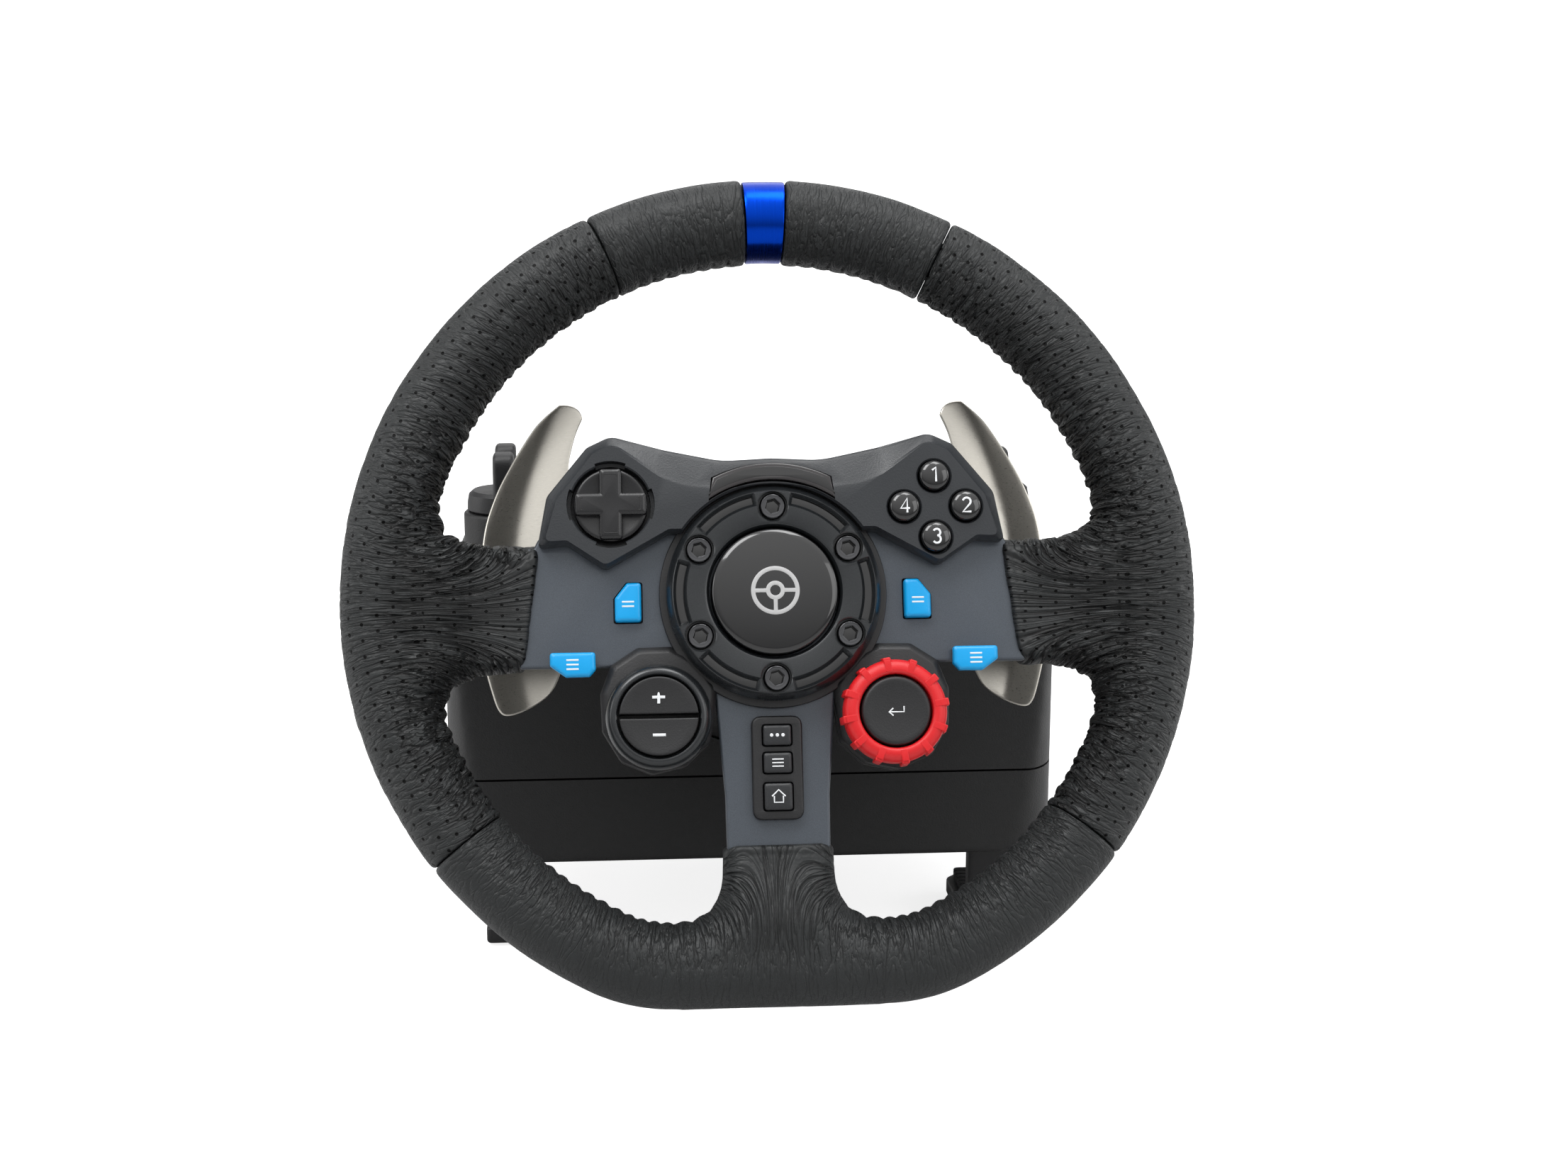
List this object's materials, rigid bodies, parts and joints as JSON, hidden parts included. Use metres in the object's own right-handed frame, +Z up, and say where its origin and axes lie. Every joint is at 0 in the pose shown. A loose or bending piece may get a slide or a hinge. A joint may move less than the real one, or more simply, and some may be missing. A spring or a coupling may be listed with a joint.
{
  "type": "racing wheel",
  "caption": "Force-feedback racing wheel: flat-bottomed leather rim, control hub with dial, pads and shift paddles, geared motor base with table clamps.",
  "frame": {"origin": "on the table top under the base's front foot, midway between the two clamps", "axes": "+Z up, +Y away from the driver, +X to the driver's right"},
  "size_m": [0.2594, 0.2784, 0.2658],
  "materials": {
    "leather": "matt",
    "anodised_blue": "anodised",
    "slate_paint": "satin",
    "charcoal_plastic": "fine texture",
    "black_plastic": "fine texture",
    "gloss_black": "gloss",
    "satin_black_metal": "satin",
    "brushed_steel": "brushed",
    "steel": "machined",
    "cast_alloy": "as cast",
    "bright_blue": "satin",
    "bright_red": "satin",
    "smoked_lens": "gloss",
    "circuit_board": "solder mask",
    "rubber": "matt",
    "white_nylon": "moulded"
  },
  "bodies": {
    "base": {"base_shell_upper": "black_plastic", "base_shell_lower": "black_plastic", "column_shroud": "black_plastic", "gearbox_frame": "cast_alloy", "bearing_front": "steel", "bearing_rear": "steel", "motor_left": "steel", "motor_right": "steel", "main_board": "circuit_board", "rubber_foot": "rubber"},
    "wheel": {"rim_core": "steel", "grip_top_left": "leather", "grip_top_right": "leather", "grip_left": "leather", "grip_right": "leather", "grip_bottom": "leather", "centre_marker_band": "anodised_blue", "spoke_plate": "slate_paint", "control_fascia": "charcoal_plastic", "control_housing_rear": "black_plastic", "rev_light_lens": "smoked_lens", "hub_ring": "satin_black_metal", "hub_cap": "gloss_black", "rim_bolt_1": "satin_black_metal", "rim_bolt_2": "satin_black_metal", "rim_bolt_3": "satin_black_metal", "rim_bolt_4": "satin_black_metal", "rim_bolt_5": "satin_black_metal", "rim_bolt_6": "satin_black_metal", "control_board": "circuit_board", "key_bezel": "black_plastic", "steering_shaft": "steel", "steering_gear": "white_nylon"},
    "dpad_pivot": {"dpad_pivot": "white_nylon"},
    "dpad": {"dpad": "black_plastic"},
    "paddle_left": {"shift_paddle_left": "brushed_steel"},
    "paddle_right": {"shift_paddle_right": "brushed_steel"},
    "selector_dial": {"selector_dial": "bright_red"},
    "motor_rotor_left": {"motor_pinion_left": "steel"},
    "motor_rotor_right": {"motor_pinion_right": "steel"},
    "clamp_left": {"clamp_arm_left": "black_plastic", "clamp_pad_left": "rubber"},
    "clamp_right": {"clamp_arm_right": "black_plastic", "clamp_pad_right": "rubber"},
    "clamp_screw_left": {"clamp_knob_left": "black_plastic"},
    "clamp_screw_right": {"clamp_knob_right": "black_plastic"},
    "face_button_1": {"face_button_1": "gloss_black"},
    "face_button_2": {"face_button_2": "gloss_black"},
    "face_button_3": {"face_button_3": "gloss_black"},
    "face_button_4": {"face_button_4": "gloss_black"},
    "blue_button_upper_left": {"blue_button_upper_left": "bright_blue"},
    "blue_button_upper_right": {"blue_button_upper_right": "bright_blue"},
    "blue_button_lower_left": {"blue_button_lower_left": "bright_blue"},
    "blue_button_lower_right": {"blue_button_lower_right": "bright_blue"},
    "plus_button": {"plus_button": "black_plastic"},
    "minus_button": {"minus_button": "black_plastic"},
    "enter_button": {"enter_button": "black_plastic"},
    "menu_key_upper": {"menu_key_upper": "charcoal_plastic"},
    "menu_key_middle": {"menu_key_middle": "charcoal_plastic"},
    "menu_key_lower": {"menu_key_lower": "charcoal_plastic"}
  },
  "joints": [
    {"name": "steering", "type": "hinge", "parent": "base", "child": "wheel", "pos_m": [0, -0.123, 0.112], "axis": [0, -0.9397, 0.342], "range_deg": [-450, 450]},
    {"name": "dpad_rock_up_down", "type": "hinge", "parent": "wheel", "child": "dpad_pivot", "pos_m": [-0.0482, -0.11749, 0.13883], "axis": [1, 0, 0], "range_deg": [-5, 5]},
    {"name": "dpad_rock_left_right", "type": "hinge", "parent": "dpad_pivot", "child": "dpad", "pos_m": [-0.0482, -0.11749, 0.13883], "axis": [0, 0.342, 0.9397], "range_deg": [-5, 5]},
    {"name": "paddle_left_pull", "type": "hinge", "parent": "wheel", "child": "paddle_left", "pos_m": [-0.025, -0.10186, 0.1043], "axis": [0, 0.342, 0.9397], "range_deg": [0, 4], "stiffness_Nm_per_rad": 0.3},
    {"name": "paddle_right_pull", "type": "hinge", "parent": "wheel", "child": "paddle_right", "pos_m": [0.025, -0.10186, 0.1043], "axis": [0, -0.342, -0.9397], "range_deg": [0, 4], "stiffness_Nm_per_rad": 0.3},
    {"name": "selector_turn", "type": "hinge", "parent": "wheel", "child": "selector_dial", "pos_m": [0.035, -0.14669, 0.08199], "axis": [0, -0.9397, 0.342], "continuous": true},
    {"name": "motor_left_turn", "type": "hinge", "parent": "base", "child": "motor_rotor_left", "pos_m": [-0.04562, -0.00652, 0.05193], "axis": [0, -0.9397, 0.342], "range_deg": [-1205, 1205]},
    {"name": "motor_right_turn", "type": "hinge", "parent": "base", "child": "motor_rotor_right", "pos_m": [0.04562, -0.00652, 0.05193], "axis": [0, -0.9397, 0.342], "range_deg": [-1205, 1205]},
    {"name": "clamp_screw_left_turn", "type": "hinge", "parent": "base", "child": "clamp_screw_left", "pos_m": [-0.084, -0.02, 0.12], "axis": [0, 0, 1], "range_deg": [-830, 975]},
    {"name": "clamp_arm_left_slide", "type": "slide", "parent": "base", "child": "clamp_left", "axis": [0, 0, 1], "range_m": [-0.0134, 0.0114]},
    {"name": "clamp_screw_right_turn", "type": "hinge", "parent": "base", "child": "clamp_screw_right", "pos_m": [0.084, -0.02, 0.12], "axis": [0, 0, 1], "range_deg": [-830, 975]},
    {"name": "clamp_arm_right_slide", "type": "slide", "parent": "base", "child": "clamp_right", "axis": [0, 0, 1], "range_m": [-0.0134, 0.0114]},
    {"name": "face_button_1_press", "type": "slide", "parent": "wheel", "child": "face_button_1", "axis": [0, 0.9397, -0.342], "range_m": [0, 0.0012]},
    {"name": "face_button_2_press", "type": "slide", "parent": "wheel", "child": "face_button_2", "axis": [0, 0.9397, -0.342], "range_m": [0, 0.0012]},
    {"name": "face_button_3_press", "type": "slide", "parent": "wheel", "child": "face_button_3", "axis": [0, 0.9397, -0.342], "range_m": [0, 0.0012]},
    {"name": "face_button_4_press", "type": "slide", "parent": "wheel", "child": "face_button_4", "axis": [0, 0.9397, -0.342], "range_m": [0, 0.0012]},
    {"name": "blue_button_upper_left_press", "type": "slide", "parent": "wheel", "child": "blue_button_upper_left", "axis": [0, 0.9397, -0.342], "range_m": [0, 0.0012]},
    {"name": "blue_button_upper_right_press", "type": "slide", "parent": "wheel", "child": "blue_button_upper_right", "axis": [0, 0.9397, -0.342], "range_m": [0, 0.0012]},
    {"name": "blue_button_lower_left_press", "type": "slide", "parent": "wheel", "child": "blue_button_lower_left", "axis": [0, 0.9397, -0.342], "range_m": [0, 0.0012]},
    {"name": "blue_button_lower_right_press", "type": "slide", "parent": "wheel", "child": "blue_button_lower_right", "axis": [0, 0.9397, -0.342], "range_m": [0, 0.0012]},
    {"name": "plus_button_press", "type": "slide", "parent": "wheel", "child": "plus_button", "axis": [0, 0.9397, -0.342], "range_m": [0, 0.0012]},
    {"name": "minus_button_press", "type": "slide", "parent": "wheel", "child": "minus_button", "axis": [0, 0.9397, -0.342], "range_m": [0, 0.0012]},
    {"name": "enter_button_press", "type": "slide", "parent": "wheel", "child": "enter_button", "axis": [0, 0.9397, -0.342], "range_m": [0, 0.0012]},
    {"name": "menu_key_upper_press", "type": "slide", "parent": "wheel", "child": "menu_key_upper", "axis": [0, 0.9397, -0.342], "range_m": [0, 0.0012]},
    {"name": "menu_key_middle_press", "type": "slide", "parent": "wheel", "child": "menu_key_middle", "axis": [0, 0.9397, -0.342], "range_m": [0, 0.0012]},
    {"name": "menu_key_lower_press", "type": "slide", "parent": "wheel", "child": "menu_key_lower", "axis": [0, 0.9397, -0.342], "range_m": [0, 0.0012]}
  ],
  "couplings": [
    {"joint": "motor_left_turn", "follows": "steering", "ratio": -2.6667},
    {"joint": "motor_right_turn", "follows": "steering", "ratio": -2.6667},
    {"joint": "clamp_screw_left_turn", "follows": "clamp_arm_left_slide", "rad_per_m": -1256.6},
    {"joint": "clamp_screw_right_turn", "follows": "clamp_arm_right_slide", "rad_per_m": -1256.6}
  ]
}
